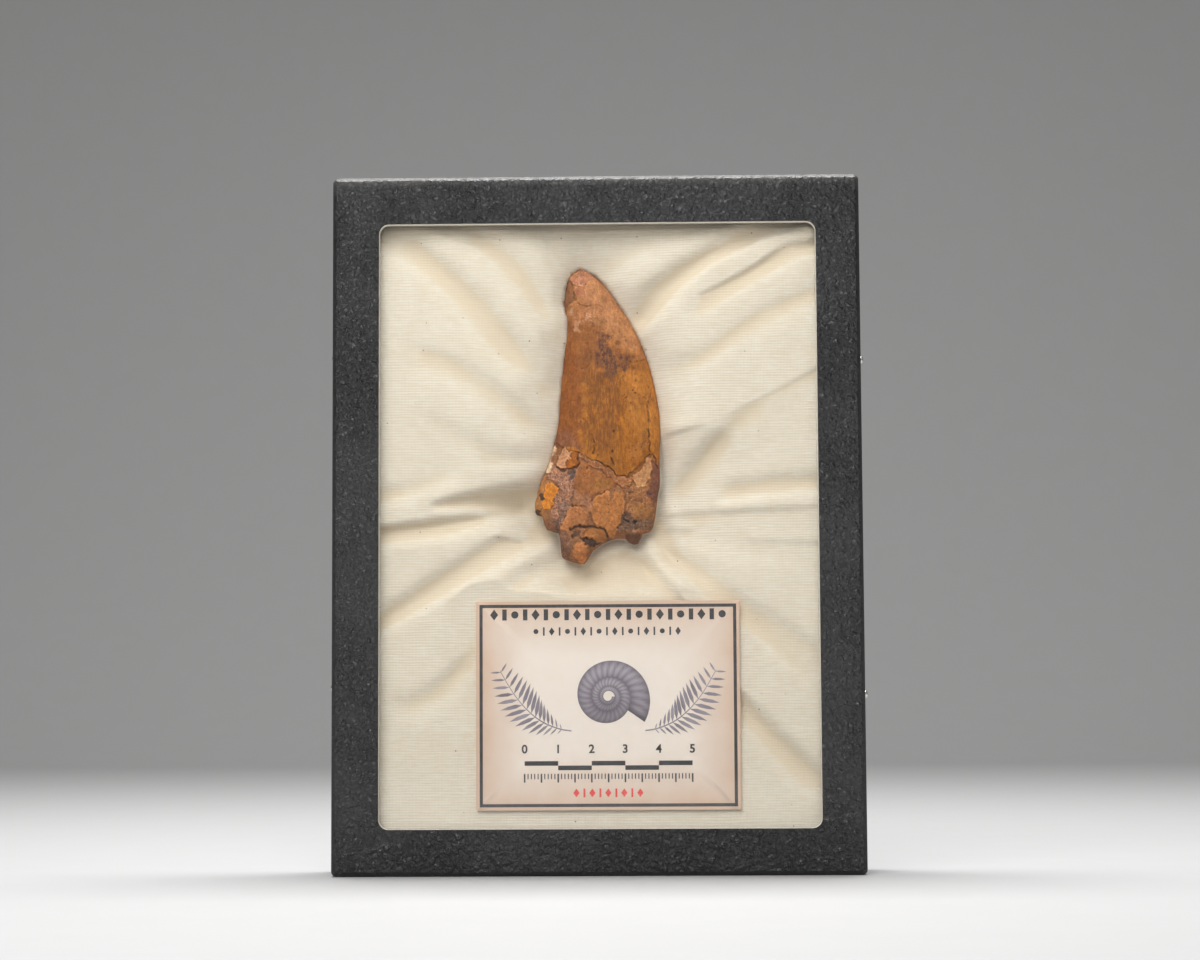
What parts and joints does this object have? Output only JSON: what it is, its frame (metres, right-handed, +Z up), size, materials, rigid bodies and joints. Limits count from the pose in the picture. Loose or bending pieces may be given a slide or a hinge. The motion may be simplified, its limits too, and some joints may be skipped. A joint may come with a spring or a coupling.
{
  "type": "carcharodontosaurus tooth in a glass-topped display case",
  "caption": "Broad curved fossil tooth with a broken root, laid on folded cream cotton in a shallow black board case with a glass front, card and side pins.",
  "frame": {"origin": "centre of the edge that the case stands on, half way through its depth", "axes": "+Z up along the case's height, glass facing -Y, +X to the viewer's right"},
  "size_m": [0.1626, 0.0254, 0.2095],
  "materials": {
    "leatherette": "black leather-grained paper over board, semi-gloss",
    "glass": "clear polished glass",
    "tray_board": "black paper over board",
    "batting": "white fibre batting",
    "cotton": "unbleached cotton muslin",
    "fossil": "brown and orange fossil enamel and root",
    "card": "cream card with a printed border",
    "pin_steel": "nickel-plated, polished"
  },
  "bodies": {
    "root": {"lid_frame": "leatherette", "glass_pane": "glass", "base_tray": "tray_board", "batting_pad": "batting", "lining_cloth": "cotton", "tooth": "fossil", "label_card": "card", "pin_left_upper": "pin_steel", "pin_left_lower": "pin_steel", "pin_right_upper": "pin_steel", "pin_right_lower": "pin_steel"}
  },
  "joints": []
}
